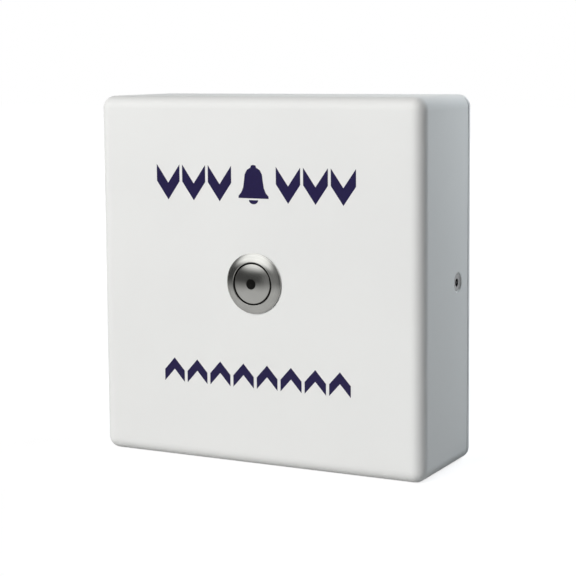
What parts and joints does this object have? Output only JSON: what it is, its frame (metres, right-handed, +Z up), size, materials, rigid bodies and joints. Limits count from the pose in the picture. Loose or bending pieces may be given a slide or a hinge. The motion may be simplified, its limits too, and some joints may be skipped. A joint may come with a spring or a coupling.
{
  "type": "network call button",
  "caption": "Square wall-mounted call button: painted metal box with a flush stainless push button in the middle of its face, electronics inside.",
  "frame": {"origin": "centre of the wall plate's rear face, on the wall", "axes": "+X right seen from the front, +Y into the wall, +Z up; the face and the button look along -Y"},
  "size_m": [0.127, 0.0457, 0.13],
  "materials": {
    "painted_cover": "off-white powder coat, semi-gloss, fine orange peel",
    "painted_plate": "off-white powder coat, semi-gloss",
    "zinc_steel": "zinc plated, satin",
    "stainless": "turned stainless steel, satin with fine rings",
    "spring_steel": "drawn wire",
    "seal_rubber": "matt black",
    "dark_lens": "smoked, nearly black, glossy",
    "clear_lamp": "milky clear",
    "black_plastic": "moulded, matt black",
    "contact_brass": "plated contacts",
    "board_laminate": "green solder mask",
    "chip_plastic": "black moulding",
    "ferrite": "dark grey, matt",
    "can_aluminium": "drawn cans, satin",
    "block_green": "moulded, green",
    "white_plastic": "moulded, natural white",
    "relay_blue": "moulded, blue",
    "wire_cover": "coloured wire covering"
  },
  "bodies": {
    "box": {"front_cover": "painted_cover", "wall_plate": "painted_plate", "side_brackets": "zinc_steel", "bracket_nuts": "zinc_steel", "cover_screws": "zinc_steel", "button_housing": "stainless", "button_seal": "seal_rubber", "button_nut": "stainless", "return_spring": "spring_steel", "guide_washer": "black_plastic", "contact_block": "black_plastic", "button_terminals": "contact_brass", "circuit_board": "board_laminate", "board_screws": "zinc_steel", "jack_shield": "zinc_steel", "jack_body": "black_plastic", "jack_contacts": "contact_brass", "processor": "chip_plastic", "memory_chip": "chip_plastic", "network_transformer": "chip_plastic", "power_inductor": "ferrite", "crystal": "can_aluminium", "terminal_block": "block_green", "relay": "relay_blue", "button_header": "white_plastic", "button_plug": "white_plastic", "capacitors": "can_aluminium", "terminal_screws": "zinc_steel", "button_wires": "wire_cover"},
    "button": {"button_cap": "stainless", "button_lens": "dark_lens", "button_plunger": "black_plastic", "button_lamp": "clear_lamp", "contact_bridge": "contact_brass"}
  },
  "joints": [
    {"name": "button_press", "type": "slide", "parent": "box", "child": "button", "axis": [0, 1, 0], "range_m": [0, 0.0022], "stiffness_N_per_m": 1000, "springref_m": -0.002, "deforming": ["return_spring"]}
  ]
}
